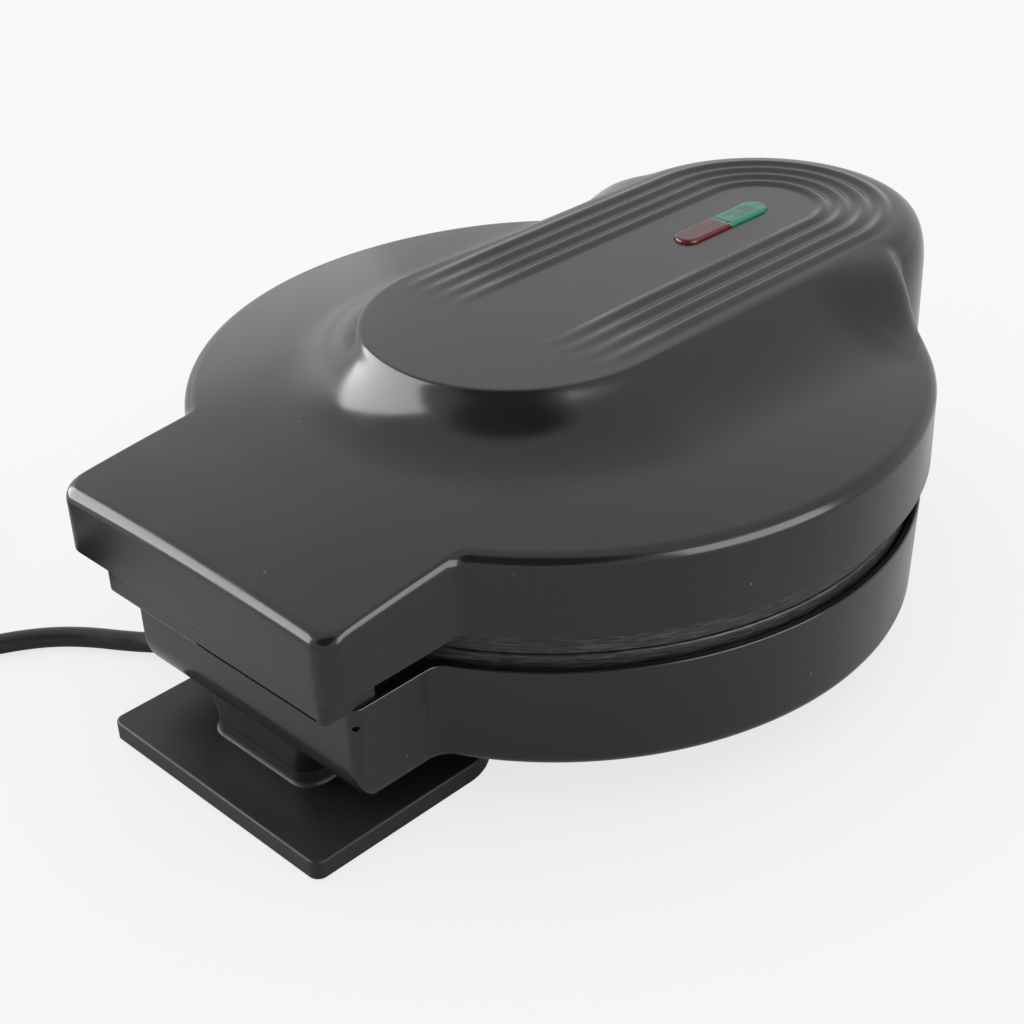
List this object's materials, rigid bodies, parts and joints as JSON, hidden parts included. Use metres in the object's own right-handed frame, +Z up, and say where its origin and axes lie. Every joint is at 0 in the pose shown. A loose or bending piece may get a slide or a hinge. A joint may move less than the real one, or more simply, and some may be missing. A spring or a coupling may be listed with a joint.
{
  "type": "electric pizza maker",
  "caption": "Round countertop pizza cooker: hinged lid with a raised ridged top running out into the lifting handle, two cast cooking plates, a rear foot stand that takes the cord, and a lead.",
  "frame": {"origin": "centre of the bounding box of the appliance without its lead, on the table", "axes": "+Z up, -Y towards the lifting handle at the front, +Y towards the hinge at the rear"},
  "size_m": [0.4426, 0.4975, 0.1472],
  "materials": {
    "gloss_body": "glossy",
    "satin_body": "satin",
    "cast_plate": "coated",
    "sheet_steel": "brushed",
    "heater_sheath": "matte",
    "red_lens": "glossy",
    "green_lens": "glossy",
    "lamp_glass": "glossy",
    "ceramic": "matte",
    "brass": "satin",
    "rubber": "matte"
  },
  "bodies": {
    "base": {"base_shell": "gloss_body", "base_front_cover": "satin_body", "base_rear_cover": "satin_body", "foot_stand": "satin_body", "stand_pad_1": "rubber", "stand_pad_2": "rubber", "stand_pad_3": "rubber", "stand_pad_4": "rubber", "front_pad_left": "rubber", "front_pad_right": "rubber", "lower_cooking_plate": "cast_plate", "lower_heat_shield": "sheet_steel", "lower_heating_element": "heater_sheath", "lower_element_clip_left": "sheet_steel", "lower_element_clip_right": "sheet_steel", "lower_plate_nut_1": "sheet_steel", "lower_plate_nut_2": "sheet_steel", "lower_plate_nut_3": "sheet_steel", "lower_shield_screw_1": "sheet_steel", "lower_shield_screw_2": "sheet_steel", "lower_shield_screw_3": "sheet_steel", "thermal_fuse": "sheet_steel", "terminal_block": "ceramic", "strain_relief": "rubber", "supply_lead": "rubber", "stand_screw_1": "sheet_steel", "stand_screw_2": "sheet_steel", "stand_screw_3": "sheet_steel", "stand_screw_4": "sheet_steel", "hinge_pin_left": "sheet_steel", "hinge_pin_right": "sheet_steel", "supply_cord": "rubber", "cord_coil": "rubber", "cord_tie": "satin_body", "plug_body": "rubber", "plug_blade_left": "brass", "plug_blade_right": "brass", "plug_earth_pin": "brass"},
    "lid": {"upper_cover": "gloss_body", "handle_liner": "satin_body", "lid_rear_liner": "satin_body", "upper_cooking_plate": "cast_plate", "upper_heat_shield": "sheet_steel", "upper_heating_element": "heater_sheath", "upper_element_clip_left": "sheet_steel", "upper_element_clip_right": "sheet_steel", "upper_plate_nut_1": "sheet_steel", "upper_plate_nut_2": "sheet_steel", "upper_plate_nut_3": "sheet_steel", "upper_shield_screw_1": "sheet_steel", "upper_shield_screw_2": "sheet_steel", "upper_shield_screw_3": "sheet_steel", "thermostat": "ceramic", "red_lens": "red_lens", "green_lens": "green_lens", "lamp_holder": "satin_body", "red_lamp": "lamp_glass", "green_lamp": "lamp_glass"}
  },
  "joints": [
    {"name": "lid_hinge", "type": "hinge", "parent": "base", "child": "lid", "pos_m": [0, 0.18286, 0.0751], "axis": [-1, 0, 0], "range_deg": [0, 100]}
  ]
}
